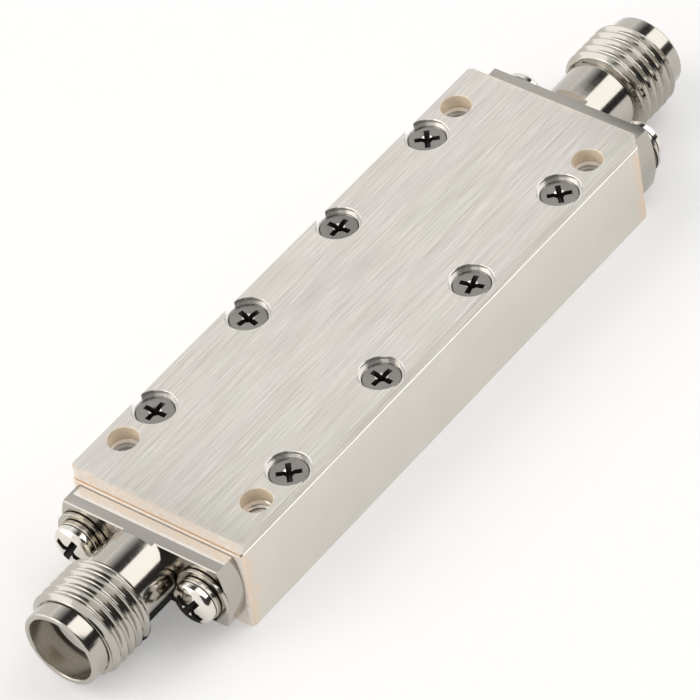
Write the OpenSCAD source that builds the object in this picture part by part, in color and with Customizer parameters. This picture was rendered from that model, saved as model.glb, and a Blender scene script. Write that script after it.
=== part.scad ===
// Slim two-port coaxial filter: a milled block with a screwed lid, four corner mounting holes
// and a threaded coaxial socket on a two-hole flange at each end.
// X runs along the housing, Z is up, and the origin is the middle of the resting face.
// Port 1 is at the -X end, port 2 at the +X end. All sizes are in millimetres.

/* [Housing] */
// Length of the milled block, flange face to flange face
body_l = 41; // [38:0.5:60]
// Width of the block
body_w = 13; // [12.8:0.1:18]
// Height of the block without its lid
body_h = 6; // [5.9:0.1:9]
// Rounding of the block's and the lid's upright corners
corner_r = 0.3; // [0.1:0.05:0.6]
// Thickness of the long walls beside the pocket
side_wall = 2.6; // [2.4:0.1:3.2]
// Thickness of the end walls behind the flanges
end_wall = 4; // [3.6:0.1:5]
// Corner radius that the milling cutter leaves in the pocket
pocket_r = 1.5; // [0.8:0.1:2]

/* [Mounting holes] */
// Diameter of the four mounting holes through lid and block
mount_d = 2; // [1.6:0.1:2.2]
// Distance of a mounting hole from the block's end face
mount_end = 3.55; // [3.4:0.05:4.5]
// Distance of a mounting hole from the block's long side
mount_edge = 1.4; // [1.3:0.05:1.6]

/* [Lid] */
// Thickness of the lid
lid_t = 1; // [0.9:0.05:1.6]
// How far the lid stops short of each end face of the block
lid_setback = 0.15; // [0:0.05:0.4]
// Distance from a mounting hole to the nearest lid screw, along the lid
lid_screw_gap = 3.08; // [2.8:0.05:3.6]
// Distance of the lid screws from the long edge
lid_screw_edge = 1.36; // [1.3:0.02:1.6]
// Diameter of the recess that each lid screw sits in
recess_d = 2.84; // [2.7:0.02:3]
// Depth of that recess, down to the top of the screw
recess_depth = 0.38; // [0.3:0.01:0.4]

/* [Lid screws] */
// Thread diameter of the lid screws
lid_screw_d = 1.6; // [1.2:0.1:1.7]
// Diameter of the countersunk head
lid_head_d = 2.5; // [2.4:0.02:2.56]
// Straight rim of the head above its cone
lid_head_rim = 0.08; // [0.04:0.01:0.1]
// Thread length below the lid
lid_screw_grip = 2.8; // [2:0.1:3.2]
// Empty thread left under the tip of any screw
tap_spare = 0.2; // [0.1:0.05:0.4]

/* [Sockets] */
// Height of the socket's axis above the resting face
axis_h = 3.5; // [3.3:0.05:3.6]
// Length of the flange from tip to tip
flange_d = 12.7; // [12.4:0.1:14]
// Height of the flange between its flats
flange_h = 4.7; // [4.4:0.1:4.9]
// Thickness of the flange
flange_t = 1.6; // [1.2:0.1:2.4]
// Distance between the two flange screws
flange_pitch = 9.2; // [9.16:0.02:9.22]
// Length of the socket in front of the flange
socket_l = 8.1; // [7.6:0.1:10]
// Diameter of the plain barrel behind the thread
barrel_d = 5.26; // [5:0.02:5.36]
// How far the milled flats of the flange run onto the barrel
flat_run = 0.25; // [0.1:0.05:0.4]
// Plain length of the barrel between flange and thread
barrel_l = 3.4; // [2.2:0.1:3.8]
// Outside diameter of the thread
thread_d = 6.35; // [6.1:0.05:6.6]
// Thread pitch
thread_pitch = 0.7056; // [0.5:0.01:0.9]
// Length of plain nose in front of the thread
nose_l = 0.9; // [0.5:0.1:1.4]
// Diameter of the plain nose
nose_d = 5.4; // [5.2:0.02:5.44]
// Bevel on the nose's outer rim
nose_bevel = 0.12; // [0.05:0.01:0.2]
// Diameter of the open mouth
mouth_d = 4.62; // [4.5:0.02:4.8]
// Depth of the mouth down to the insulator
mouth_depth = 1.95; // [1.6:0.05:2.4]

/* [Insulator and contact] */
// Diameter of the insulator
insulator_d = 4.1; // [3.8:0.05:4.2]
// How far the insulator reaches into the block's end wall
insulator_reach = 1.5; // [0.8:0.1:2]
// Outside diameter of the centre contact
contact_d = 1.27; // [1.1:0.01:1.5]
// Bore of the centre contact, open to the front
contact_bore = 0.92; // [0.8:0.02:0.96]
// Depth of that bore
contact_bore_depth = 2.6; // [2:0.1:3.5]
// Width of the slots that let the contact spring
contact_slot = 0.16; // [0.1:0.02:0.2]
// Diameter of the contact's tail
tail_d = 0.9; // [0.7:0.05:1]
// Diameter of the hole round the tail in the end wall
tail_hole_d = 2.1; // [1.9:0.1:2.4]
// Length of tail that lies over the board
tail_reach = 1.9; // [1.2:0.1:2.2]

/* [Flange screws] */
// Thread diameter of the flange screws
flange_screw_d = 1.6; // [1.4:0.1:1.7]
// Depth of the flange screws in the block
flange_screw_grip = 1.9; // [1.4:0.1:1.9]
// Diameter of the domed head
dome_d = 2.9; // [2.7:0.05:3.1]
// Height of the domed head
dome_h = 0.9; // [0.7:0.05:1.2]
// Straight height of the head below its dome
dome_side = 0.4; // [0.3:0.05:0.5]
// Outside diameter of the flat washer
flat_washer_d = 3.76; // [3.2:0.02:3.8]
// Thickness of the flat washer
flat_washer_t = 0.3; // [0.2:0.05:0.4]
// Outside diameter of the split washer
split_washer_d = 3; // [2.6:0.05:3.2]
// Thickness of the split washer
split_washer_t = 0.4; // [0.3:0.05:0.5]
// Width of the split
split_w = 0.28; // [0.15:0.01:0.4]

/* [Screw recesses] */
// Width of each slot of the cross
cross_w = 0.34; // [0.24:0.02:0.4]
// Length of each slot of the cross
cross_l = 1.6; // [1.2:0.05:1.7]
// Depth of the cross in a lid screw
lid_cross_depth = 0.35; // [0.2:0.05:0.45]
// Depth of the cross in a domed head
dome_cross_depth = 0.62; // [0.4:0.02:0.66]

/* [Board] */
// Thickness of the circuit board
board_t = 0.6; // [0.4:0.1:0.8]
// Thickness of the copper pads and lines
copper_t = 0.1; // [0.05:0.01:0.15]
// Gap between the board and the pocket's walls
board_gap = 0.2; // [0.1:0.05:0.3]
// Width of the line from a port to the first resonator
line_w = 0.9; // [0.6:0.05:1.1]
// Gap between neighbouring coupling pads
pad_gap = 0.5; // [0.3:0.05:0.8]
// Length of a coupling pad across the board
pad_l = 1.1; // [0.9:0.05:1.2]

/* [Resonators] */
// Side of a resonator's square section
res_side = 2.8; // [2.4:0.05:2.9]
// Length of a resonator across the board
res_l = 5.4; // [4.6:0.1:5.5]
// Spacing of the resonators
res_pitch = 4.4; // [3.8:0.1:5]
// Diameter of the bore through a resonator
res_bore = 1; // [0.8:0.05:1.2]
// Gap from the pocket wall to the closed ends of the resonators
res_gap = 0.35; // [0.2:0.05:0.4]
// How far a tab's pin reaches into the bore
tab_pin_l = 2; // [1.4:0.1:3]
// Thickness of a tab's tongue
tab_t = 0.15; // [0.1:0.01:0.2]
// Width of a tab's tongue
tab_w = 0.8; // [0.6:0.05:0.9]
// Distance of the tongue's upright part from the resonator
tab_stand = 0.45; // [0.3:0.05:0.5]

/* [Fits] */
// Radial clearance of a screw or pin in its hole
pin_clear = 0.02; // [0.01:0.01:0.05]
// Radial clearance of a screw in a lid, flange or washer hole
hole_clear = 0.08; // [0.05:0.01:0.1]
// Radial clearance round the insulator in the block
insulator_clear = 0.05; // [0.02:0.01:0.1]

/* [Hidden] */
$fn = 64;
// Small overshoot that keeps cuts from sharing a face with what they cut
cut = 0.05;
// How far each screw is turned in its hole, in degrees
lid_screw_turn = [1, 77, 2, 40, 42, 85, 15, 45];
flange_screw_turn = [20, 65, 50, 10];
split_turn = [150, 60, 200, 320];

top_z = body_h + lid_t;
lid_l = body_l - 2 * lid_setback;
pocket_l = body_l - 2 * end_wall;
pocket_w = body_w - 2 * side_wall;
mount_x = body_l / 2 - mount_end;
mount_y = body_w / 2 - mount_edge;
lid_screw_y = body_w / 2 - lid_screw_edge;
lid_screw_x = mount_x - lid_screw_gap;
lid_screws_per_row = 4;
lid_screw_pitch = 2 * lid_screw_x / (lid_screws_per_row - 1);
head_top_z = top_z - recess_depth;
lid_head_cone = (lid_head_d - lid_screw_d) / 2;

// Stations along a socket's axis, measured outward from the front of its flange
face_s = socket_l - mouth_depth;
thread_end_s = socket_l - nose_l;
insulator_back_s = -flange_t - insulator_reach;
contact_front_s = face_s - 0.05;
tail_tip_s = -flange_t - end_wall - tail_reach;
dome_seat_s = flat_washer_t + split_washer_t;

// The board lies so that the tails rest just above its copper
copper_z = axis_h - tail_d / 2 - pin_clear;
board_z = copper_z - copper_t - board_t;
res_count = 5;
res_back_y = pocket_w / 2 - res_gap;
res_front_y = res_back_y - res_l;
res_bore_z = copper_z + res_side / 2;
pad_y = res_front_y - tab_stand - pad_l / 2 + tab_t;
pad_w = res_pitch - pad_gap;

function lid_screw_place(i) = [
    -lid_screw_x + lid_screw_pitch * (i % lid_screws_per_row),
    i < lid_screws_per_row ? lid_screw_y : -lid_screw_y
];
function res_x(i) = (i - (res_count + 1) / 2) * res_pitch;

// A rectangle about the origin with true round corners
module rounded_rect(l, w, r) {
    square([l - 2 * r, w], center = true);
    square([l, w - 2 * r], center = true);
    for (x = [-1, 1], y = [-1, 1])
        translate([x * (l / 2 - r), y * (w / 2 - r)]) circle(r = r);
}

// Puts its children at the four mounting holes
module at_mounts() {
    for (x = [-1, 1], y = [-1, 1])
        translate([x * mount_x, y * mount_y, 0]) children();
}

// Puts its children at the eight lid screws
module at_lid_screws() {
    for (i = [0:2 * lid_screws_per_row - 1])
        translate(lid_screw_place(i)) children();
}

// Turns local Z outward along the socket axis of one end, with Z = 0 at the flange's front
module at_port(side) {
    translate([side * (body_l / 2 + flange_t), 0, axis_h]) rotate([0, side * 90, 0]) children();
}

// Puts its children at one flange screw; left and right are as seen facing the socket
module at_flange_screw(side, hand) {
    at_port(side) translate([0, -side * hand * flange_pitch / 2, 0]) children();
}

// Cross-shaped driver recess, cut downward from Z = 0
module cross_recess(depth, turn) {
    rotate(turn) {
        for (a = [0, 90])
            rotate(a) translate([-cross_l / 2, -cross_w / 2, -depth]) cube([cross_l, cross_w, depth + cut]);
        translate([0, 0, -depth]) cylinder(r1 = cross_w * 0.6, r2 = cross_w, h = depth + cut);
    }
}

module housing_body() {
    color([0.80, 0.79, 0.76])
    difference() {
        linear_extrude(body_h) rounded_rect(body_l, body_w, corner_r);
        translate([0, 0, board_z]) linear_extrude(body_h) rounded_rect(pocket_l, pocket_w, pocket_r);
        at_mounts() translate([0, 0, -cut]) cylinder(d = mount_d, h = body_h + 2 * cut);
        at_lid_screws() translate([0, 0, body_h - lid_screw_grip - tap_spare])
            cylinder(d = lid_screw_d, h = lid_screw_grip + tap_spare + cut);
        for (side = [-1, 1]) {
            at_port(side) translate([0, 0, insulator_back_s])
                cylinder(d = insulator_d + 2 * insulator_clear, h = insulator_reach + cut);
            at_port(side) translate([0, 0, -flange_t - end_wall - cut])
                cylinder(d = tail_hole_d, h = end_wall + cut);
            for (hand = [-1, 1])
                at_flange_screw(side, hand) translate([0, 0, -flange_t - flange_screw_grip - tap_spare])
                    cylinder(d = flange_screw_d, h = flange_screw_grip + tap_spare + cut);
        }
    }
}

module lid() {
    color([0.83, 0.82, 0.79])
    translate([0, 0, body_h])
    difference() {
        linear_extrude(lid_t) rounded_rect(lid_l, body_w, corner_r);
        at_mounts() translate([0, 0, -cut]) cylinder(d = mount_d, h = lid_t + 2 * cut);
        at_lid_screws() {
            translate([0, 0, lid_t - recess_depth]) cylinder(d = recess_d, h = lid_t);
            translate([0, 0, -cut]) cylinder(d = lid_screw_d + 2 * hole_clear, h = lid_t);
            translate([0, 0, lid_t - recess_depth]) head_shape(pin_clear);
        }
    }
}

// Straight rim and cone of a countersunk head, below Z = 0, grown outward by a clearance
module head_shape(grow) {
    translate([0, 0, -lid_head_rim])
        cylinder(d = lid_head_d + 2 * grow, h = lid_head_rim + (grow > 0 ? cut : 0));
    translate([0, 0, -lid_head_rim - lid_head_cone])
        cylinder(d1 = lid_screw_d + 2 * grow, d2 = lid_head_d + 2 * grow, h = lid_head_cone);
}

// Countersunk lid screw, numbered along the +Y row and then along the -Y row
module lid_screw(number) {
    screw_l = head_top_z - body_h + lid_screw_grip;
    color([0.45, 0.45, 0.46])
    translate(concat(lid_screw_place(number - 1), [head_top_z]))
    difference() {
        union() {
            head_shape(0);
            translate([0, 0, -screw_l])
                cylinder(d = lid_screw_d - 2 * pin_clear, h = screw_l - lid_head_rim - pin_clear);
        }
        cross_recess(lid_cross_depth, lid_screw_turn[number - 1]);
    }
}

// Outline of the barrel, thread and nose, from inside the flange to the mouth's rim
function thread_depth() = 0.6134 * thread_pitch;
function thread_root_r() = thread_d / 2 - thread_depth();
function thread_turns() = floor((thread_end_s - barrel_l) / thread_pitch);
function thread_first_s() = (thread_end_s + barrel_l - thread_turns() * thread_pitch) / 2;
function ridge(s) = [
    [thread_root_r(), s + thread_pitch / 16],
    [thread_d / 2, s + thread_pitch * 7 / 16],
    [thread_d / 2, s + thread_pitch * 9 / 16],
    [thread_root_r(), s + thread_pitch * 15 / 16]
];
function socket_outline() = concat(
    [[0, -flange_t / 2]],
    [[barrel_d / 2, -flange_t / 2], [barrel_d / 2, thread_first_s()]],
    [for (i = [0:thread_turns() - 1]) each ridge(thread_first_s() + i * thread_pitch)],
    [[nose_d / 2, thread_first_s() + thread_turns() * thread_pitch],
     [nose_d / 2, socket_l - nose_bevel],
     [nose_d / 2 - nose_bevel, socket_l],
     [0, socket_l]]
);

// Threaded socket with its flange, turned and milled from one piece
module socket(side) {
    color([0.74, 0.73, 0.71])
    at_port(side)
    difference() {
        union() {
            translate([0, 0, -flange_t]) cylinder(d = flange_d, h = flange_t, $fn = 96);
            rotate_extrude($fn = 96) polygon(socket_outline());
        }
        for (flat = [0, 180])
            rotate(flat) translate([flange_h / 2, -flange_d, -flange_t - cut])
                cube([flange_d, 2 * flange_d, flange_t + flat_run + cut]);
        translate([0, 0, face_s]) cylinder(d = mouth_d, h = mouth_depth + cut);
        translate([0, 0, -flange_t - cut]) cylinder(d = insulator_d, h = flange_t + face_s + 2 * cut);
        for (hand = [-1, 1])
            translate([0, hand * flange_pitch / 2, -flange_t - cut])
                cylinder(d = flange_screw_d + 2 * hole_clear, h = flange_t + 2 * cut);
    }
}

module insulator(side) {
    color([0.93, 0.92, 0.89])
    at_port(side) translate([0, 0, insulator_back_s])
    difference() {
        cylinder(d = insulator_d - 2 * pin_clear, h = face_s - insulator_back_s);
        translate([0, 0, -cut])
            cylinder(d = contact_d + 2 * pin_clear, h = face_s - insulator_back_s + 2 * cut);
    }
}

// Centre contact: slotted socket to the front, solder tail to the back
module contact(side) {
    color([0.85, 0.68, 0.35])
    at_port(side)
    difference() {
        union() {
            translate([0, 0, insulator_back_s])
                cylinder(d = contact_d, h = contact_front_s - insulator_back_s);
            translate([0, 0, tail_tip_s]) cylinder(d = tail_d, h = insulator_back_s - tail_tip_s + cut);
        }
        translate([0, 0, contact_front_s - contact_bore_depth])
            cylinder(d = contact_bore, h = contact_bore_depth + cut);
        for (a = [0, 90])
            rotate(a) translate([-contact_d, -contact_slot / 2, contact_front_s - contact_bore_depth])
                cube([2 * contact_d, contact_slot, contact_bore_depth + cut]);
    }
}

// Outline of a domed head above its seat; the dome is one arc over the straight side
dome_rise = dome_h - dome_side;
dome_arc_r = (pow(dome_d / 2, 2) + pow(dome_rise, 2)) / (2 * dome_rise);
dome_arc_a = asin(dome_d / 2 / dome_arc_r);
function dome_outline() = concat(
    [[0, 0], [dome_d / 2, 0]],
    [for (i = [8:-1:0]) let (a = dome_arc_a * i / 8)
        [dome_arc_r * sin(a), dome_h - dome_arc_r * (1 - cos(a))]]
);

module flange_screw(side, hand, turn) {
    color([0.72, 0.71, 0.69])
    at_flange_screw(side, hand) translate([0, 0, dome_seat_s])
    difference() {
        union() {
            rotate_extrude() polygon(dome_outline());
            translate([0, 0, -dome_seat_s - flange_t - flange_screw_grip])
                cylinder(d = flange_screw_d - 2 * pin_clear,
                         h = dome_seat_s + flange_t + flange_screw_grip + cut);
        }
        translate([0, 0, dome_h]) cross_recess(dome_cross_depth, turn);
    }
}

// Spring washer with a slanted split
module split_washer(side, hand, turn) {
    color([0.60, 0.59, 0.57])
    at_flange_screw(side, hand) translate([0, 0, flat_washer_t])
    difference() {
        cylinder(d = split_washer_d, h = split_washer_t);
        translate([0, 0, -cut]) cylinder(d = flange_screw_d + 2 * hole_clear, h = split_washer_t + 2 * cut);
        rotate(turn) translate([0, 0, split_washer_t / 2]) rotate([35, 0, 0])
            translate([0, -split_w / 2, -2 * split_washer_t])
                cube([split_washer_d, split_w, 4 * split_washer_t]);
    }
}

module flat_washer(side, hand) {
    color([0.66, 0.65, 0.63])
    at_flange_screw(side, hand)
    difference() {
        cylinder(d = flat_washer_d, h = flat_washer_t);
        translate([0, 0, -cut]) cylinder(d = flange_screw_d + 2 * hole_clear, h = flat_washer_t + 2 * cut);
    }
}

// Line from the tail of one port to the pad of the nearest resonator
module port_line(side) {
    outer_x = pocket_l / 2 - 2 * board_gap;
    bend_x = res_x(res_count) + pad_w / 2 + pad_gap;
    near_y = pad_y - pad_l / 2;
    mirror([side < 0 ? 1 : 0, 0, 0]) {
        translate([bend_x, -line_w / 2]) square([outer_x - bend_x, line_w]);
        translate([bend_x, near_y]) square([line_w, line_w / 2 - near_y]);
    }
}

// Board with its copper: two port lines, one ground strip and a coupling pad for each resonator
module circuit_board() {
    color([0.86, 0.84, 0.74]) translate([0, 0, board_z]) {
        linear_extrude(board_t)
            rounded_rect(pocket_l - 2 * board_gap, pocket_w - 2 * board_gap, pocket_r);
        translate([0, 0, board_t - cut]) linear_extrude(copper_t + cut) {
            for (side = [-1, 1]) port_line(side);
            for (i = [1:res_count])
                translate([res_x(i), pad_y]) square([pad_w, pad_l], center = true);
            translate([res_x(1) - res_side / 2, res_front_y])
                square([res_x(res_count) - res_x(1) + res_side, res_l]);
        }
    }
}

// Square ceramic resonator with a bore right through, lying across the board
module resonator(number) {
    color([0.78, 0.77, 0.74])
    translate([res_x(number), res_back_y, copper_z])
    difference() {
        translate([-res_side / 2, -res_l, 0]) cube([res_side, res_l, res_side]);
        translate([0, cut, res_side / 2]) rotate([90, 0, 0]) cylinder(d = res_bore, h = res_l + 2 * cut);
    }
}

// Metal tab that joins a resonator's bore to its pad
module tab(number) {
    color([0.80, 0.62, 0.30])
    translate([res_x(number), res_front_y, res_bore_z]) {
        translate([0, tab_pin_l, 0]) rotate([90, 0, 0])
            cylinder(d = res_bore - 2 * pin_clear, h = tab_pin_l + tab_stand);
        translate([-tab_w / 2, -tab_stand, copper_z - res_bore_z])
            cube([tab_w, tab_t, res_bore_z - copper_z + res_bore / 2 - pin_clear]);
        translate([-tab_w / 2, -tab_stand - pad_l / 2, copper_z - res_bore_z])
            cube([tab_w, pad_l / 2 + tab_t, tab_t]);
    }
}

housing_body();
lid();
lid_screw(1);  // lid_screw_1
lid_screw(2);  // lid_screw_2
lid_screw(3);  // lid_screw_3
lid_screw(4);  // lid_screw_4
lid_screw(5);  // lid_screw_5
lid_screw(6);  // lid_screw_6
lid_screw(7);  // lid_screw_7
lid_screw(8);  // lid_screw_8
socket(-1);  // port1_socket
insulator(-1);  // port1_insulator
contact(-1);  // port1_contact
flange_screw(-1, 1, flange_screw_turn[0]);  // port1_screw_left
flange_screw(-1, -1, flange_screw_turn[1]);  // port1_screw_right
split_washer(-1, 1, split_turn[0]);  // port1_split_washer_left
split_washer(-1, -1, split_turn[1]);  // port1_split_washer_right
flat_washer(-1, 1);  // port1_flat_washer_left
flat_washer(-1, -1);  // port1_flat_washer_right
socket(1);  // port2_socket
insulator(1);  // port2_insulator
contact(1);  // port2_contact
flange_screw(1, 1, flange_screw_turn[2]);  // port2_screw_left
flange_screw(1, -1, flange_screw_turn[3]);  // port2_screw_right
split_washer(1, 1, split_turn[2]);  // port2_split_washer_left
split_washer(1, -1, split_turn[3]);  // port2_split_washer_right
flat_washer(1, 1);  // port2_flat_washer_left
flat_washer(1, -1);  // port2_flat_washer_right
circuit_board();
resonator(1);  // resonator_1
resonator(2);  // resonator_2
resonator(3);  // resonator_3
resonator(4);  // resonator_4
resonator(5);  // resonator_5
tab(1);  // tab_1
tab(2);  // tab_2
tab(3);  // tab_3
tab(4);  // tab_4
tab(5);  // tab_5
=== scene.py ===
"""Dressed model of a slim two-port coaxial filter, on a pale floor under soft studio light.

Pieces are drawn in millimetres, each about its own axis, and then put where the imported
model has them, in metres. A port's own axis points outward, with zero at its flange's front.
"""

import logging
import math
from contextlib import contextmanager
from dataclasses import dataclass, field
from enum import Enum
from typing import Callable, Iterator, Sequence

import bmesh
import bpy
from mathutils import Matrix, Quaternion, Vector


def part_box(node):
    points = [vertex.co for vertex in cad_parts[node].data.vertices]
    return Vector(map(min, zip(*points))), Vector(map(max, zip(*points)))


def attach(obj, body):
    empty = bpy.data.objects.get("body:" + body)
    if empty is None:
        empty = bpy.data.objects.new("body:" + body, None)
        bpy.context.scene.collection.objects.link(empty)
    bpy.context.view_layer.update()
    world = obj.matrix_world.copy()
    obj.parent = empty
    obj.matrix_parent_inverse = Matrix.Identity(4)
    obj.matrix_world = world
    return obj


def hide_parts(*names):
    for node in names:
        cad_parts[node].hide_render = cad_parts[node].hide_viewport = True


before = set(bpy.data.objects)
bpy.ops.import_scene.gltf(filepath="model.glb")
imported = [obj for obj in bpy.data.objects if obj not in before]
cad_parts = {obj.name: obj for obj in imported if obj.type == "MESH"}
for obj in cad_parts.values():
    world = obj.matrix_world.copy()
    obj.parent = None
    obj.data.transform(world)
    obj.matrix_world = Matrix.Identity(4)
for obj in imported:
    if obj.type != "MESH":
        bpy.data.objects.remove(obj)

LOG = logging.getLogger("coaxial_filter")
MM = 0.001
BODY = "root"
# Corners closer than this, in millimetres, are one.
WELD = 0.0002
# How far a cutter stands past the face that it starts from, in millimetres.
OVERCUT = 0.1
SMOOTH_ANGLE = math.radians(24)
# Where nearly all of a noise's values lie, and where most of them do.
NOISE_SPAN = (0.3, 0.7)
NOISE_CORE = (0.35, 0.65)
UNIT = (0.0, 1.0)
# Where a fading card's fade starts and ends, as shares of its width from its middle.
FADE_RUN = (-0.5, 0.15)
BLACK = (0.0, 0.0, 0.0, 1.0)
WHITE = (1.0, 1.0, 1.0, 1.0)
Piece = bpy.types.Object
Socket = bpy.types.NodeSocket
Outline = list[tuple[float, float]]
Colour = tuple[float, float, float]


class Pick(Enum):
    """What an edit-mode selection is made of."""

    CORNERS = "VERT"
    EDGES = "EDGE"
    FACES = "FACE"


class Joining(Enum):
    """How one solid is worked into another."""

    CUT = "DIFFERENCE"
    WELD = "UNION"
    TRIM = "INTERSECT"


class Grain(Enum):
    """How a finish's fine lines run, as noise cells per metre along X, Y and Z."""

    ALONG_HOUSING = (150.0, 6200.0, 6200.0)
    AROUND_PORT = (21000.0, 260.0, 260.0)
    EVEN = (5200.0, 5200.0, 5200.0)


class Apart(Enum):
    """Offsets, in noise cells, that keep a finish's noises apart."""

    LINES = 0.0
    STREAKS = 1.9
    CLOUDS = 3.7
    BROAD = 5.3
    PATCHES = 7.1


def make_active(piece: Piece) -> None:
    """Selects one piece, and nothing else, for the operators.

    Args:
        piece: The piece that the next operators act on.
    """
    bpy.ops.object.select_all(action="DESELECT")
    piece.select_set(True)
    bpy.context.view_layer.objects.active = piece


@contextmanager
def editing(piece: Piece) -> Iterator[None]:
    """Holds a piece in edit mode, entered with nothing selected.

    Args:
        piece: The piece that is edited.

    Yields:
        Nothing; the piece leaves edit mode afterwards.
    """
    make_active(piece)
    bpy.ops.object.mode_set(mode="EDIT")
    bpy.ops.mesh.select_mode(type="VERT")
    bpy.ops.mesh.select_all(action="DESELECT")
    yield
    bpy.ops.object.mode_set(mode="OBJECT")


def pick(piece: Piece, kind: Pick, test: Callable) -> None:
    """Selects what passes a test, and nothing else, on a piece in edit mode.

    Args:
        piece: The piece that is being edited.
        kind: Whether corners, edges or faces are tested.
        test: Called with each of them; true selects it.
    """
    bpy.ops.mesh.select_mode(type=kind.value)
    bpy.ops.mesh.select_all(action="DESELECT")
    shape = bmesh.from_edit_mesh(piece.data)
    items = {Pick.CORNERS: shape.verts, Pick.EDGES: shape.edges, Pick.FACES: shape.faces}[kind]
    for item in items:
        item.select_set(bool(test(item)))
    shape.select_flush_mode()
    bmesh.update_edit_mesh(piece.data)


def clean(piece: Piece) -> None:
    """Merges doubled corners of a closed shell and turns its faces outward.

    Args:
        piece: The piece in object mode.
    """
    with editing(piece):
        bpy.ops.mesh.select_all(action="SELECT")
        bpy.ops.mesh.remove_doubles(threshold=WELD)
        bpy.ops.mesh.normals_make_consistent(inside=False)


def apply_modifier(piece: Piece, kind: str, **settings: object) -> None:
    """Adds a modifier, sets it and applies it.

    Args:
        piece: The piece that the modifier works on.
        kind: Blender's name for the modifier.
        settings: Its values by name.
    """
    make_active(piece)
    modifier = piece.modifiers.new(kind, kind)
    for name, value in settings.items():
        setattr(modifier, name, value)
    bpy.ops.object.modifier_apply(modifier=modifier.name)


def wear(piece: Piece, *finishes: "Finish") -> Piece:
    """Gives a new piece its finishes in order. All its faces start with the first.

    Args:
        piece: The new piece, which wears none yet.
        finishes: The finishes that it wears.

    Returns:
        The same piece.
    """
    for finish in finishes:
        piece.data.materials.append(finish.material())
    return piece


def tint(piece: Piece, place: int, test: Callable | None = None) -> None:
    """Gives faces one of the finishes that a piece wears.

    Args:
        piece: The piece in object mode.
        place: Place of the finish in the piece's list.
        test: Called with each face; true tints it. All faces are tinted without it.
    """
    with editing(piece):
        pick(piece, Pick.FACES, test if test else lambda face: True)
        piece.active_material_index = place
        bpy.ops.object.material_slot_assign()


def work_in(piece: Piece, tool: Piece, joining: Joining, place: int = 0) -> None:
    """Cuts, welds or trims a piece with a tool solid, which is used up.

    Args:
        piece: The solid that is changed.
        tool: The solid that it is worked with. If it wears finishes, they are the piece's own.
        joining: Which of the three is done.
        place: Which of the piece's finishes the worked faces get.
    """
    if not tool.data.materials:
        for material in piece.data.materials:
            tool.data.materials.append(material)
        if place:
            tint(tool, place)
    apply_modifier(piece, "BOOLEAN", object=tool, operation=joining.value, solver="MANIFOLD")
    bpy.data.objects.remove(tool)


def drawn(name: str, outline: Outline, lift: float = 0.0) -> Piece:
    """Draws an outline in the X-Z plane, corner by corner.

    Args:
        name: Name of the new piece.
        outline: X and Z of each corner in order.
        lift: Height that is added to all of them.

    Returns:
        The outline as a run of edges.
    """
    bpy.ops.mesh.primitive_plane_add(size=1.0)
    piece = bpy.context.active_object
    piece.name = name
    with editing(piece):
        bpy.ops.mesh.select_all(action="SELECT")
        bpy.ops.mesh.merge(type="CENTER")
        bpy.ops.transform.translate(value=(outline[0][0], 0.0, outline[0][1] + lift))
        for (r0, z0), (r1, z1) in zip(outline, outline[1:]):
            step = (r1 - r0, 0.0, z1 - z0)
            bpy.ops.mesh.extrude_vertices_move(TRANSFORM_OT_translate={"value": step})
        bpy.ops.mesh.select_all(action="SELECT")
        bpy.ops.mesh.remove_doubles(threshold=WELD)
    return piece


def turned(name: str, outline: Outline, steps: int = 96) -> Piece:
    """Turns an outline about Z, as a lathe would.

    Args:
        name: Name of the new piece.
        outline: Radius and height of each corner. It starts and ends on the axis, or closes
            on its first corner.
        steps: Facets round the axis.

    Returns:
        The turned solid.
    """
    piece = drawn(name, outline)
    with editing(piece):
        bpy.ops.mesh.select_all(action="SELECT")
        bpy.ops.mesh.spin(steps=steps, angle=2 * math.pi, center=(0, 0, 0), axis=(0, 0, 1))
    clean(piece)
    return piece


def arc(centre: tuple[float, float], radii: tuple[float, float], start: float, end: float,
        steps: int) -> Outline:
    """Corners along a stretch of an ellipse.

    Args:
        centre: Radius and height of its centre.
        radii: Its half-widths across and up.
        start: Angle of the first corner in degrees.
        end: Angle of the last corner in degrees.
        steps: Number of chords.

    Returns:
        The corners, from start to end.
    """
    angles = [math.radians(start + (end - start) * i / steps) for i in range(steps + 1)]
    return [(centre[0] + radii[0] * math.cos(a), centre[1] + radii[1] * math.sin(a)) for a in angles]


def plug(name: str, radius: float, low: float, high: float, flare: float = 0.0,
         steps: int = 48) -> Piece:
    """Round cutter along Z whose mouth flares at the top and bottom.

    Args:
        name: Name of the cutter.
        radius: Radius of the hole.
        low: Height of the hole's bottom face.
        high: Height of its top face.
        flare: Width of the break at both mouths.
        steps: Facets round the hole.

    Returns:
        The cutter. One with a flare stands a little past both faces.
    """
    wide = radius + flare + OVERCUT
    outline = [(0.0, low - OVERCUT), (wide, low - OVERCUT), (radius, low + flare),
               (radius, high - flare), (wide, high + OVERCUT), (0.0, high + OVERCUT)]
    if flare == 0.0:
        outline = [(0.0, low), (radius, low), (radius, high), (0.0, high)]
    return turned(name, outline, steps)


def bar(name: str, low: Sequence[float], high: Sequence[float]) -> Piece:
    """Square-edged blank between two corners, the start of a milled piece or a cutter.

    Args:
        name: Name of the new piece.
        low: Its lowest corner.
        high: Its highest corner.

    Returns:
        The blank.
    """
    middle = [(a + b) / 2 for a, b in zip(low, high)]
    size = [b - a for a, b in zip(low, high)]
    bpy.ops.mesh.primitive_cube_add(size=1.0, location=middle, scale=size)
    piece = bpy.context.active_object
    piece.name = name
    make_active(piece)
    bpy.ops.object.transform_apply(location=True, rotation=True, scale=True)
    return piece


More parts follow.
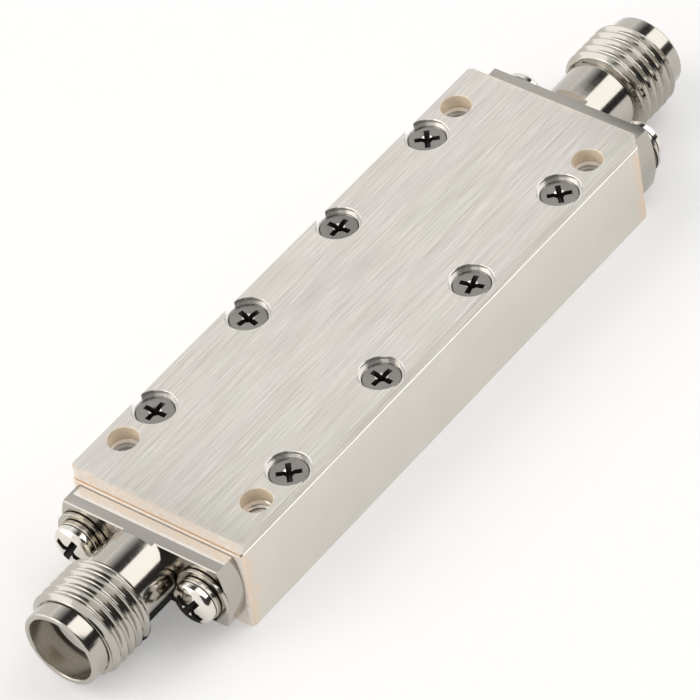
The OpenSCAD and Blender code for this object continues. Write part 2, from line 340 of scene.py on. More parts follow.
def bevel_edges(piece: Piece, width: float, segments: int, test: Callable) -> None:
    """Rounds the edges that pass a test.

    Args:
        piece: The piece in object mode.
        width: How far the rounding reaches from each edge.
        segments: Facets across it.
        test: Called with each edge; true rounds it.
    """
    with editing(piece):
        pick(piece, Pick.EDGES, test)
        bpy.ops.mesh.bevel(offset=width, segments=segments, affect="EDGES", clamp_overlap=True)


def is_upright(edge: bmesh.types.BMEdge) -> bool:
    """Whether an edge runs along Z."""
    run = edge.verts[1].co - edge.verts[0].co
    return abs(run.z) > run.length - WELD


def lies_at(height: float) -> Callable:
    """Test for edges that lie in the level plane at a height."""
    return lambda edge: all(abs(corner.co.z - height) < WELD for corner in edge.verts)


def faces_along_x(least: float) -> Callable:
    """Test for faces whose normal has at least a share of its length along X."""
    return lambda face: abs(face.normal.x) > least


def slants(least: float, most: float) -> Callable:
    """Test for faces whose normal rises by an amount between two values."""
    return lambda face: least < face.normal.z < most


def copied(piece: Piece, name: str) -> Piece:
    """Copies a piece.

    Args:
        piece: The piece as it is.
        name: Name of the copy.

    Returns:
        The copy, with a mesh of its own.
    """
    make_active(piece)
    bpy.ops.object.duplicate(linked=False)
    twin = bpy.context.active_object
    twin.name = name
    twin.data.name = name
    return twin


def settle(piece: Piece, place: Matrix) -> None:
    """Puts a piece drawn in millimetres about its own axis into the frame, in metres.

    Args:
        piece: The piece as drawn.
        place: Its place in the frame, in millimetres.
    """
    piece.matrix_world = Matrix.Scale(MM, 4) @ place
    make_active(piece)
    bpy.ops.object.transform_apply(location=True, rotation=True, scale=True)
    bpy.ops.object.shade_smooth_by_angle(angle=SMOOTH_ANGLE)
    apply_modifier(piece, "WEIGHTED_NORMAL", mode="FACE_AREA", thresh=0.0, keep_sharp=True)
    piece.data.name = piece.name


def hand_over(piece: Piece, node: str) -> None:
    """Seats a finished piece on the body and lets it stand for its solid.

    Args:
        piece: The finished piece.
        node: Name of the solid that it stands for.
    """
    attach(piece, BODY)
    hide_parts(node)
    LOG.info("%s: %d faces, stands for %s", piece.name, len(piece.data.polygons), node)


def seen_by_camera(tree: bpy.types.NodeTree) -> Socket:
    """Adds the nodes that tell how a ray comes to a surface.

    Args:
        tree: The nodes of a material or of the world.

    Returns:
        The socket with one for camera, glossy and transmission rays, else zero.
    """
    rays = tree.nodes.new("ShaderNodeLightPath")
    factor = rays.outputs["Is Camera Ray"]
    for name in ("Is Glossy Ray", "Is Transmission Ray"):
        either = tree.nodes.new("ShaderNodeMath")
        either.operation = "MAXIMUM"
        tree.links.new(factor, either.inputs[0])
        tree.links.new(rays.outputs[name], either.inputs[1])
        factor = either.outputs[0]
    return factor


class NodeBench:
    """Adds and joins the shader nodes of one material."""

    def __init__(self, name: str) -> None:
        """Starts an empty material with its Principled shader and output.

        Args:
            name: Name of the new material.
        """
        self.material = bpy.data.materials.new(name)
        self.material.use_nodes = True
        self.tree = self.material.node_tree
        self.tree.nodes.clear()
        self.shader = self.add("ShaderNodeBsdfPrincipled")
        output = self.add("ShaderNodeOutputMaterial")
        self.join(self.shader.outputs["BSDF"], output.inputs["Surface"])

    def add(self, kind: str, **settings: object) -> bpy.types.Node:
        """Adds a node.

        Args:
            kind: Blender's name for the node.
            settings: Its properties by name.

        Returns:
            The new node.
        """
        node = self.tree.nodes.new(kind)
        for name, value in settings.items():
            setattr(node, name, value)
        return node

    def join(self, source: Socket, target: Socket) -> None:
        """Links one socket to another."""
        self.tree.links.new(source, target)

    def noise(self, cells: Sequence[float], detail: float, shift: Apart = Apart.LINES) -> Socket:
        """Noise on the object's own coordinates.

        Args:
            cells: Noise cells per metre along X, Y and Z.
            detail: Octaves of finer noise.
            shift: Offset that keeps it apart from the finish's other noises.

        Returns:
            The socket with its value, about 0.3 to 0.7.
        """
        place = self.add("ShaderNodeTexCoord")
        mapping = self.add("ShaderNodeMapping")
        mapping.inputs["Location"].default_value = (shift.value,) * 3
        mapping.inputs["Scale"].default_value = cells
        noise = self.add("ShaderNodeTexNoise")
        noise.inputs["Scale"].default_value = 1.0
        noise.inputs["Detail"].default_value = detail
        self.join(place.outputs["Object"], mapping.inputs["Vector"])
        self.join(mapping.outputs["Vector"], noise.inputs["Vector"])
        return noise.outputs["Fac"]

    def along(self, axis: str) -> Socket:
        """Splits off one of the object's own coordinates.

        Args:
            axis: X, Y or Z.

        Returns:
            The socket with the coordinate in metres.
        """
        place = self.add("ShaderNodeTexCoord")
        parts = self.add("ShaderNodeSeparateXYZ")
        self.join(place.outputs["Object"], parts.inputs["Vector"])
        return parts.outputs[axis]

    def reckoned(self, operation: str, first: Socket, second: Socket | float = 0.0) -> Socket:
        """Works out a value with a Math node.

        Args:
            operation: Blender's name for the operation.
            first: The first value.
            second: The second value, from a socket or plain.

        Returns:
            The socket with the result.
        """
        node = self.add("ShaderNodeMath", operation=operation)
        self.join(first, node.inputs[0])
        if isinstance(second, Socket):
            self.join(second, node.inputs[1])
        else:
            node.inputs[1].default_value = second
        return node.outputs[0]

    def seen(self) -> Socket:
        """One for rays that come straight, mirrored or through glass from the camera, else zero."""
        return seen_by_camera(self.tree)

    def ranged(self, value: Socket, source: tuple[float, float],
               target: tuple[float, float] = UNIT) -> Socket:
        """Maps a value from one range to another, clamped at both ends.

        Args:
            value: The value.
            source: Its two ends.
            target: What they become.

        Returns:
            The socket with the mapped value.
        """
        node = self.add("ShaderNodeMapRange", clamp=True)
        node.inputs["From Min"].default_value, node.inputs["From Max"].default_value = source
        node.inputs["To Min"].default_value, node.inputs["To Max"].default_value = target
        self.join(value, node.inputs["Value"])
        return node.outputs["Result"]

    def blended(self, factor: Socket, first: Socket | Colour, second: Socket | Colour) -> Socket:
        """Mixes two colours.

        Args:
            factor: Share of the second, zero to one.
            first: The first colour, from a socket or plain.
            second: The second colour, from a socket or plain.

        Returns:
            The socket with the mixed colour.
        """
        node = self.add("ShaderNodeMix", data_type="RGBA")
        self.join(factor, node.inputs["Factor"])
        for name, value in (("A", first), ("B", second)):
            target = [s for s in node.inputs if s.name == name and s.type == "RGBA"][0]
            if isinstance(value, Socket):
                self.join(value, target)
            else:
                target.default_value = (*value, 1.0)
        return [s for s in node.outputs if s.type == "RGBA"][0]

    def relief(self, height: Socket, depth: float, below: Socket | None = None) -> Socket:
        """Bump whose height value of one stands for a depth in metres.

        Args:
            height: The height, zero to one.
            depth: Metres that a height of one stands for.
            below: Normal of another bump that this one lies on.

        Returns:
            The socket with the normal.
        """
        node = self.add("ShaderNodeBump")
        node.inputs["Strength"].default_value = 1.0
        node.inputs["Distance"].default_value = depth
        self.join(height, node.inputs["Height"])
        if below is not None:
            self.join(below, node.inputs["Normal"])
        return node.outputs["Normal"]


@dataclass(frozen=True)
class Finish:
    """Surface with fine lines, soft clouding and a slight relief.

    Colours are linear. Depths are in metres and cells are per metre.
    """

    name: str
    colour: Colour
    cloud_colour: Colour
    metallic: float
    roughness: tuple[float, float]
    grain: Grain
    grain_depth: float
    grain_tone: float = 0.1
    cloud_cells: float = 260.0
    ior: float = 1.5
    stain: Colour | None = None
    stain_run: tuple[float, float] = (0.0185, 0.0208)
    stain_lift: tuple[float, float] = (-0.35, 0.45)
    stain_from: tuple[float, float] = (0.55, 0.95)
    stain_share: float = 0.75
    patch_cells: float = 1100.0
    line_share: float = 4.0

    def material(self) -> bpy.types.Material:
        """The material of this finish, made on its first use."""
        known = bpy.data.materials.get(self.name)
        return known if known else self.build()

    def build(self) -> bpy.types.Material:
        """Makes the material from its nodes.

        Returns:
            The new material.
        """
        bench = NodeBench(self.name)
        lines = bench.noise(self.grain.value, detail=3.0)
        clouds = bench.noise((self.cloud_cells,) * 3, detail=2.0, shift=Apart.CLOUDS)
        tone = bench.blended(bench.ranged(clouds, NOISE_CORE), self.colour, self.cloud_colour)
        darker = tuple(c * (1.0 - self.grain_tone) for c in self.colour)
        share = bench.ranged(lines, NOISE_CORE, (self.grain_tone * self.line_share, 0.0))
        tone = self.stain_or_painted_highlight(bench, bench.blended(share, tone, darker))
        bench.join(tone, bench.shader.inputs["Base Color"])
        bench.join(bench.ranged(lines, NOISE_SPAN, self.roughness), bench.shader.inputs["Roughness"])
        bench.join(bench.relief(lines, self.grain_depth), bench.shader.inputs["Normal"])
        bench.shader.inputs["Metallic"].default_value = self.metallic
        bench.shader.inputs["IOR"].default_value = self.ior
        return bench.material

    def stain_or_painted_highlight(self, bench: NodeBench, tone: Socket) -> Socket:
        """Adds the warm stain that some surfaces have toward both ends of the housing.

        Args:
            bench: The material's nodes.
            tone: The colour without the stain.

        Returns:
            The socket with the stained colour.
        """
        if self.stain is None:
            return tone
        distance = bench.reckoned("ABSOLUTE", bench.along("X"))
        lift = bench.ranged(distance, self.stain_run, self.stain_lift)
        patches = bench.noise((self.patch_cells,) * 3, detail=5.0, shift=Apart.PATCHES)
        share = bench.ranged(bench.reckoned("ADD", patches, lift), self.stain_from,
                             (0.0, self.stain_share))
        return bench.blended(share, tone, self.stain)


@dataclass(frozen=True)
class Streaks:
    """Streaks of one tone, laid where a noise passes through a range."""

    tone: Colour
    source: tuple[float, float]
    share: float

    def laid(self, bench: NodeBench, noise: Socket, tone: Socket) -> Socket:
        """The tone with these streaks on it."""
        return bench.blended(bench.ranged(noise, self.source, (0.0, self.share)), tone, self.tone)


@dataclass(frozen=True)
class BrushedPlate(Finish):
    """Plate brushed along the housing, with light and dark streaks over a faint two-tone tint."""

    streak_cells: tuple[float, float, float] = (260.0, 9600.0, 9600.0)
    broad_cells: tuple[float, float, float] = (110.0, 3000.0, 3000.0)
    narrow_streaks: tuple[Streaks, ...] = (
        Streaks((0.84, 0.81, 0.75), (0.52, 0.72), 0.8), Streaks((0.48, 0.45, 0.41), (0.46, 0.28), 0.6))
    broad_streaks: tuple[Streaks, ...] = (
        Streaks((0.84, 0.81, 0.75), (0.5, 0.75), 0.3), Streaks((0.48, 0.45, 0.41), (0.48, 0.28), 0.2))
    streak_depth: float = 0.000003
    cloud_stretch: float = 3.0
    cloud_range: tuple[float, float] = (0.38, 0.62)

    def build(self) -> bpy.types.Material:
        """Makes the material from its nodes.

        Returns:
            The new material.
        """
        bench = NodeBench(self.name)
        fine = bench.noise(self.grain.value, detail=4.0)
        narrow = bench.noise(self.streak_cells, detail=3.0, shift=Apart.STREAKS)
        broad = bench.noise(self.broad_cells, detail=3.0, shift=Apart.BROAD)
        across = self.cloud_cells * self.cloud_stretch
        clouds = bench.noise((self.cloud_cells, across, across), detail=2.0, shift=Apart.CLOUDS)
        tone = bench.blended(bench.ranged(clouds, self.cloud_range), self.colour, self.cloud_colour)
        for streaks in self.broad_streaks:
            tone = streaks.laid(bench, broad, tone)
        for streaks in self.narrow_streaks:
            tone = streaks.laid(bench, narrow, tone)
        bench.join(self.stain_or_painted_highlight(bench, tone), bench.shader.inputs["Base Color"])
        bench.join(bench.ranged(fine, NOISE_SPAN, self.roughness), bench.shader.inputs["Roughness"])
        relief = bench.relief(narrow, self.streak_depth)
        bench.join(bench.relief(fine, self.grain_depth, relief), bench.shader.inputs["Normal"])
        bench.shader.inputs["Metallic"].default_value = self.metallic
        return bench.material


@dataclass(frozen=True)
class MilledFlat(Finish):
    """Milled metal with a painted highlight: a brighter band on top of the near flange, where it meets
    the block.
    """

    highlight_tone: Colour = (0.86, 0.82, 0.77)
    highlight_middle: float = -0.0209
    highlight_reach: tuple[float, float] = (0.00043, 0.00046)
    highlight_height: tuple[float, float] = (0.00580, 0.00584)
    highlight_end: tuple[float, float] = (0.00560, 0.00575)

    def stain_or_painted_highlight(self, bench: NodeBench, tone: Socket) -> Socket:
        """Adds the painted highlight band.

        Args:
            bench: The material's nodes.
            tone: The colour without the band.

        Returns:
            The socket with the banded colour.
        """
        from_middle = bench.reckoned("SUBTRACT", bench.along("X"), self.highlight_middle)
        offset = bench.reckoned("ABSOLUTE", from_middle)
        beside = bench.ranged(offset, self.highlight_reach, (1.0, 0.0))
        above = bench.ranged(bench.along("Z"), self.highlight_height)
        before = bench.ranged(bench.along("Y"), self.highlight_end, (1.0, 0.0))
        share = bench.reckoned("MULTIPLY", bench.reckoned("MULTIPLY", beside, above), before)
        return bench.blended(share, tone, self.highlight_tone)


class Finishes:
    """Every finish that the filter wears."""

    HOUSING = Finish("satin_plate", (0.77, 0.74, 0.685), (0.74, 0.715, 0.65), 1.0, (0.30, 0.42),
                     Grain.ALONG_HOUSING, 0.000002, grain_tone=0.04, stain=(0.86, 0.66, 0.48),
                     stain_run=(0.0176, 0.0206))
    CUT_EDGE = Finish("bright_cut_edge", (0.70, 0.68, 0.63), (0.66, 0.64, 0.58), 1.0, (0.10, 0.18),
                      Grain.EVEN, 0.000001)
    LID = BrushedPlate("brushed_plate", (0.66, 0.62, 0.58), (0.655, 0.63, 0.57), 1.0, (0.28, 0.40),
                       Grain.ALONG_HOUSING, 0.000002, cloud_cells=120.0, stain=(0.86, 0.74, 0.62),
                       stain_run=(0.0192, 0.0208))
    HOLE = Finish("chromate_hole_wall", (0.98, 0.88, 0.72), (0.95, 0.79, 0.63), 0.15, (0.35, 0.5),
                  Grain.EVEN, 0.000003, cloud_cells=1500.0)
    TAPPED = Finish("tapped_hole", (0.42, 0.35, 0.23), (0.34, 0.28, 0.18), 0.7, (0.25, 0.4),
                    Grain.EVEN, 0.000002)
    # Painted light in part: the end faces' own warm mottled tone, lifted near white to stand in for the
    # light that falls on the ends.
    MILLED_END_PAINTED_LIGHT = Finish("milled_end_painted_light", (1.0, 0.94, 0.85), (0.98, 0.82, 0.69), 0.1, (0.52, 0.68),
                        Grain.EVEN, 0.000008, grain_tone=0.14, cloud_cells=2400.0)
    COUNTERBORE = Finish("bored_recess", (0.80, 0.78, 0.75), (0.72, 0.70, 0.67), 0.8, (0.16, 0.26),
                         Grain.EVEN, 0.0000003)
    SOCKET = Finish("turned_steel", (0.48, 0.455, 0.41), (0.50, 0.475, 0.43), 1.0, (0.10, 0.16),
                    Grain.AROUND_PORT, 0.0000012, grain_tone=0.06)
    # The flats' finish, with a painted highlight band on the near flange's top.
    FLAT = MilledFlat("milled_flat_painted_highlight", (0.395, 0.373, 0.336), (0.41, 0.39, 0.353), 1.0, (0.12, 0.18),
                      Grain.EVEN, 0.0000008, grain_tone=0.06)
    BORE = Finish("bored_steel", (0.50, 0.47, 0.41), (0.44, 0.41, 0.36), 0.85, (0.20, 0.30),
                  Grain.AROUND_PORT, 0.0000015)
    # Painted shade: a near-black colour put in the cross recesses, under the washers' and screw heads'
    # outer edges, on the flange's back edge and on the step round the insulator face.
    PAINTED_SHADE = Finish("painted_shade", (0.028, 0.024, 0.02), (0.018, 0.016, 0.014), 0.3, (0.35, 0.5),
                   Grain.EVEN, 0.000003)
    DOME_SCREW = Finish("plated_screw", (0.80, 0.76, 0.70), (0.74, 0.70, 0.63), 1.0, (0.08, 0.16),
                        Grain.EVEN, 0.000001)
    WASHER = Finish("bright_washer", (0.55, 0.52, 0.47), (0.50, 0.46, 0.40), 1.0, (0.12, 0.24),
                    Grain.EVEN, 0.0000015)
    LID_SCREW = Finish("satin_screw", (0.30, 0.28, 0.26), (0.22, 0.205, 0.19), 1.0, (0.16, 0.28),
                       Grain.EVEN, 0.000002)
    INSULATOR = Finish("dull_insulator", (0.82, 0.79, 0.76), (0.78, 0.75, 0.72), 0.0, (0.4, 0.55),
                       Grain.AROUND_PORT, 0.000001, ior=1.38)
    CONTACT = Finish("gold_contact", (0.86, 0.60, 0.22), (0.80, 0.55, 0.20), 1.0, (0.12, 0.22),
                     Grain.AROUND_PORT, 0.0000006)
    BOARD = Finish("woven_laminate", (0.62, 0.58, 0.42), (0.55, 0.52, 0.36), 0.0, (0.45, 0.6),
                   Grain.EVEN, 0.000002)
    CERAMIC = Finish("silvered_ceramic", (0.72, 0.70, 0.66), (0.62, 0.60, 0.56), 0.7, (0.35, 0.5),
                     Grain.EVEN, 0.000003)
    TAB = Finish("brass_tab", (0.72, 0.52, 0.22), (0.66, 0.46, 0.18), 1.0, (0.2, 0.3),
                 Grain.ALONG_HOUSING, 0.000001)


@dataclass(frozen=True)
class Thread:
    """Right-handed V thread about Z. Lengths are in millimetres."""

    crest_r: float
    pitch: float
    start: float
    end: float
    depth_share: float = 0.495
    fillet_share: float = 0.227
    sink: float = 0.1
    steps: int = 72
    phase: float = 0.0
    crest_share: float = 0.1
    crest_squash: float = 0.7
    crest_sweep: float = 80.0
    root_sweep: tuple[float, float] = (8.0, 60.0)
    envelope_over: float = 0.05
    envelope_under: float = 0.02

    @property
    def root_r(self) -> float:
        """Radius at the bottom of the groove."""
        return self.crest_r - self.depth_share * self.pitch

    def profile(self) -> Outline:
        """Section of the ridge about height zero, with a rounded crest and rounded roots.

        Returns:
            The closed section.
        """
        top, fillet = self.crest_share * self.pitch, self.fillet_share * self.pitch
        rise = top * self.crest_squash
        crest = arc((self.crest_r - rise, 0.0), (rise, top), -self.crest_sweep, self.crest_sweep, 4)
        root = arc((self.root_r + fillet, -self.pitch / 2), (-fillet, fillet), *self.root_sweep, 5)
        base, foot = self.root_r - self.sink, root[0][1]
        mirrored = [(r, -z) for r, z in reversed(root)]
        return [(base, foot), *root, *crest, *mirrored, (base, -foot), (base, foot)]

    def ridge(self, name: str) -> Piece:
        """Models the ridge alone.

        Args:
            name: Name of the new piece.

        Returns:
            The ridge, a closed solid that runs a turn past both ends.
        """
        low = self.phase + self.pitch * math.floor((self.start - self.pitch - self.phase) / self.pitch)
        piece = drawn(name, self.profile(), low)
        turns = math.ceil((self.end - low) / self.pitch) + 1
        apply_modifier(piece, "SCREW", axis="Z", angle=2 * math.pi, screw_offset=self.pitch,
                       iterations=turns, steps=self.steps, render_steps=self.steps,
                       use_merge_vertices=False)
        with editing(piece):
            bpy.ops.mesh.select_all(action="SELECT")
            bpy.ops.mesh.fill_holes(sides=0)
        clean(piece)
        return piece

    def cut_on(self, core: Piece, run_out: float) -> None:
        """Welds the ridge on a core, fading in and out over a short run.

        Args:
            core: The solid that carries the thread.
            run_out: Length over which the ridge rises at each end.
        """
        ridge = self.ridge("ridge")
        wide, deep = self.crest_r + self.envelope_over, self.root_r - self.envelope_under
        envelope = turned("envelope", [
            (0.0, self.start), (deep, self.start), (wide, self.start + run_out),
            (wide, self.end - run_out), (deep, self.end), (0.0, self.end)], self.steps)
        work_in(ridge, envelope, Joining.TRIM)
        work_in(core, ridge, Joining.WELD)


@dataclass(frozen=True)
class DriverCross:
    """Cross-shaped driver recess. Lengths are in millimetres."""

    width: float
    length: float
    depth: float
    taper: float = 0.5
    edge_break: float = 0.035
    facet_r: float = 0.54
    facet_depth: float = 0.3
    above: float = 0.3
    # Places of the head's finishes that the wings and the centre facets get; the screws give the wings
    # painted shade.
    WING = 1
    FACET = 2

    def cut_in(self, head: Piece, top: float, turn: float) -> None:
        """Sinks the recess in a head.

        Args:
            head: The screw, about its own axis.
            top: Height of the head's top.
            turn: How far the cross is turned, in degrees.
        """
        half = self.width / 2
        wings = bar("wings", (-half, -half, top - self.depth), (half, half, top + self.above))
        reach = (self.length - self.width) / 2
        for way in ((1, 0), (0, 1), (-1, 0), (0, -1)):
            side = Vector((way[0], way[1], 0.0))
            with editing(wings):
                pick(wings, Pick.FACES, lambda face: face.normal.dot(side) > 1.0 - WELD
                     and face.calc_center_median().xy.length < half + WELD)
                bpy.ops.mesh.extrude_region_move(TRANSFORM_OT_translate={"value": side * reach})
        with editing(wings):
            pick(wings, Pick.CORNERS, lambda corner: corner.co.z < top - self.depth + WELD)
            bpy.ops.transform.resize(value=(self.taper, self.taper, 1.0), center_override=(0, 0, 0))
            pick(wings, Pick.CORNERS, lambda corner: corner.co.z > top)
            grow = 1.0 + (1.0 - self.taper) * self.above / self.depth
            bpy.ops.transform.resize(value=(grow, grow, 1.0), center_override=(0, 0, 0))
        wings.rotation_euler = (0.0, 0.0, math.radians(turn))
        # The wings take painted shade, which darkens the recess.
        work_in(head, wings, Joining.CUT, self.WING)
        cone = turned("cone", [(0.0, top - self.facet_depth), (self.facet_r, top + WELD * 10),
                               (0.0, top + WELD * 10)], 24)
        work_in(head, cone, Joining.CUT, self.FACET)
        bevel_edges(head, self.edge_break, 2, lambda edge: len(edge.link_faces) == 2 and len(
            {face.material_index for face in edge.link_faces}) == 2)


@dataclass
class HousingBlock:
    """Milled block with its pocket, tapped holes and bores. Lengths are in millimetres."""

    corner_r: float = 0.3
    edge_break: float = 0.045
    side_wall: float = 2.6
    end_wall: float = 4.0
    pocket_r: float = 1.5
    pocket_floor: float = 2.33
    mount_at: tuple[float, float] = (16.95, 5.1)
    mount_r: float = 1.0
    mount_pitch: float = 0.4
    tap_r: float = 0.8
    lid_tap_at: tuple[tuple[float, float], ...] = ()
    lid_tap_floor: float = 3.0
    flange_tap_y: float = 4.6
    flange_tap_depth: float = 2.1
    axis_h: float = 3.5
    bore_r: float = 2.1
    bore_depth: float = 1.5
    tail_hole_r: float = 1.05
    mount_thread_depth: float = 0.42
    mount_run_out: float = 0.1
    sink_depth: float = 0.3
    sink_over: float = 0.02
    low: Vector = field(default_factory=lambda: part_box("housing_body")[0] / MM)
    high: Vector = field(default_factory=lambda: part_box("housing_body")[1] / MM)
    EDGE = 1
    TAP = 2
    END = 3

    def build(self) -> None:
        """Models the block, dresses it and hands it over."""
        block = wear(bar("housing_block", self.low, self.high), Finishes.HOUSING, Finishes.CUT_EDGE,
                     Finishes.TAPPED, Finishes.MILLED_END_PAINTED_LIGHT)
        bevel_edges(block, self.corner_r, 5, is_upright)
        bevel_edges(block, self.edge_break, 1, lies_at(self.high.z))
        tint(block, self.EDGE, slants(0.3, 0.95))
        bevel_edges(block, self.edge_break, 2, lies_at(self.low.z))
        # The end faces get the milled-end finish, whose colour is partly painted light.
        tint(block, self.END, faces_along_x(0.6))
        self.mill_pocket(block)
        self.bore_ends(block)
        self.tap_lid_holes(block)
        self.tap_mounts(block)
        clean(block)
        settle(block, Matrix.Identity(4))
        hand_over(block, "housing_body")

    def mill_pocket(self, block: Piece) -> None:
        """Mills the pocket that holds the board, with the cutter's round corners.

        Args:
            block: The block, which is changed.
        """
        wall = Vector((self.end_wall, self.side_wall, 0.0))
        low, high = self.low + wall, self.high - wall
        pocket = bar("pocket", (low.x, low.y, self.pocket_floor), (high.x, high.y, high.z + 5 * OVERCUT))
        bevel_edges(pocket, self.pocket_r, 8, is_upright)
        work_in(block, pocket, Joining.CUT)

    def bore_ends(self, block: Piece) -> None:
        """Bores both ends for the insulator and the tail, and taps them for the flange screws.

        Args:
            block: The block, which is changed.
        """
        for side in (-1, 1):
            place = end_place(side, self.high.x, self.axis_h)
            cutters = [
                (plug("bore", self.bore_r, -self.bore_depth, OVERCUT), 0.0),
                (plug("tail_hole", self.tail_hole_r, -self.end_wall - OVERCUT, OVERCUT, steps=32), 0.0),
            ]
            for across in (self.flange_tap_y, -self.flange_tap_y):
                tap = plug("flange_tap", self.tap_r, -self.flange_tap_depth, OVERCUT, steps=32)
                cutters.append((tap, across))
            for cutter, across in cutters:
                cutter.matrix_world = place @ Matrix.Translation((0.0, across, 0.0))
                work_in(block, cutter, Joining.CUT)

    def tap_lid_holes(self, block: Piece) -> None:
        """Drills the blind holes under the lid screws.

        Args:
            block: The block, which is changed.
        """
        for x, y in self.lid_tap_at:
            drill = plug("drill", self.tap_r, self.lid_tap_floor, self.high.z + OVERCUT, steps=32)
            drill.location = (x, y, 0.0)
            work_in(block, drill, Joining.CUT)

    def tap_mounts(self, block: Piece) -> None:
        """Taps the four mounting holes right through, with a short countersink at each mouth.

        Args:
            block: The block, which is changed.
        """
        thread = Thread(self.mount_r, self.mount_pitch, self.low.z - 2 * OVERCUT,
                        self.high.z + 2 * OVERCUT, depth_share=self.mount_thread_depth, steps=36)
        tap = plug("tap", thread.root_r, self.low.z - 3 * OVERCUT, self.high.z + 3 * OVERCUT, steps=36)
        thread.cut_on(tap, self.mount_run_out)
        deep, over = self.sink_depth, self.sink_over
        for x, y in corner_places(self.mount_at):
            cutter = copied(tap, "tap_copy")
            cutter.location = (x, y, 0.0)
            work_in(block, cutter, Joining.CUT, self.TAP)
            for face, way in ((self.low.z, -1), (self.high.z, 1)):
                sink = turned("sink", [
                    (0.0, -deep * way), (self.mount_r - deep, -deep * way),
                    (self.mount_r + over, over * way), (0.0, over * way)], 36)
                sink.location = (x, y, face)
                work_in(block, sink, Joining.CUT, self.END)
        bpy.data.objects.remove(tap)


def corner_places(at: tuple[float, float]) -> list[tuple[float, float]]:
    """The four places that lie a distance in X and in Y from the middle."""
    return [(x, y) for x in (-at[0], at[0]) for y in (-at[1], at[1])]


def end_place(side: int, face_x: float, axis_h: float) -> Matrix:
    """Place that turns Z outward along a port's axis at one end face.

    Args:
        side: -1 for port 1, 1 for port 2.
        face_x: Distance of the face from the middle.
        axis_h: Height of the axis.

    Returns:
        The place in millimetres.
    """
    return Matrix.Translation((side * face_x, 0.0, axis_h)) @ Matrix.Rotation(side * math.pi / 2, 4, "Y")


@dataclass
class LidPlate:
    """Brushed lid with its mounting holes and countersunk recesses. Lengths are in millimetres."""

    corner_r: float = 0.3
    mount_at: tuple[float, float] = (16.95, 5.1)
    mount_r: float = 1.0
    mouth_break: float = 0.04
    screw_at: tuple[tuple[float, float], ...] = ()
    recess_r: float = 1.42
    recess_depth: float = 0.38
    seat_r: float = 1.27
    seat_rim: float = 0.08
    screw_hole_r: float = 0.88
    under_break: float = 0.05
    low: Vector = field(default_factory=lambda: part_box("lid")[0] / MM)
    high: Vector = field(default_factory=lambda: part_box("lid")[1] / MM)
    HOLE = 1
    RECESS = 2
    END = 3

    def build(self) -> None:
        """Models the lid, dresses it and hands it over."""
        lid = wear(bar("lid_plate", self.low, self.high), Finishes.LID, Finishes.HOLE,
                   Finishes.COUNTERBORE, Finishes.MILLED_END_PAINTED_LIGHT)
        bevel_edges(lid, self.corner_r, 5, is_upright)
        bevel_edges(lid, self.under_break, 1, lies_at(self.low.z))
        # The end faces get the milled-end finish, whose colour is partly painted light.
        tint(lid, self.END, faces_along_x(0.6))
        for x, y in self.screw_at:
            cutter = self.recess_cutter()
            cutter.location = (x, y, self.high.z)
            work_in(lid, cutter, Joining.CUT, self.RECESS)
        for x, y in corner_places(self.mount_at):
            drill = plug("drill", self.mount_r, self.low.z, self.high.z, self.mouth_break, 64)
            drill.location = (x, y, 0.0)
            work_in(lid, drill, Joining.CUT, self.HOLE)
        clean(lid)
        settle(lid, Matrix.Identity(4))
        hand_over(lid, "lid")

    def recess_cutter(self) -> Piece:
        """Cutter for a screw's recess.

        Returns:
            The cutter, with zero height at the lid's top.
        """
        through = 2 * (self.low.z - self.high.z)
        seat = -self.recess_depth - self.seat_rim
        cone = self.seat_r - self.screw_hole_r
        edge = self.mouth_break
        return turned("recess", [
            (0.0, through), (self.screw_hole_r, through), (self.screw_hole_r, seat - cone),
            (self.seat_r, seat), (self.seat_r, -self.recess_depth),
            (self.recess_r, -self.recess_depth), (self.recess_r, -edge),
            (self.recess_r + edge + OVERCUT, OVERCUT), (0.0, OVERCUT)], 96)


@dataclass(frozen=True)
class Shank:
    """Threaded shank of a screw, about Z. Lengths are in millimetres."""

    thread_r: float = 0.78
    pitch: float = 0.35
    thread_depth: float = 0.55
    tip_break: float = 0.1
    start: float = 0.05
    run_out: float = 0.15

    def thread(self, tip: float, top: float) -> Thread:
        """The thread from just above the tip to a height."""
        return Thread(self.thread_r, self.pitch, tip + self.start, top,
                      depth_share=self.thread_depth, sink=0.06, steps=24)

    def outline(self, tip: float, top: float, neck: float) -> Outline:
        """Corners of the shank below a head.

        Args:
            tip: Height of the tip.
            top: Height where the thread ends.
            neck: Height where the shank has grown to the thread's radius again.

        Returns:
            The corners, from the axis at the tip to the neck.
        """
        core = self.thread(tip, top).root_r
        return [(0.0, tip), (core - self.tip_break, tip), (core, tip + self.tip_break), (core, top),
                (self.thread_r, neck)]


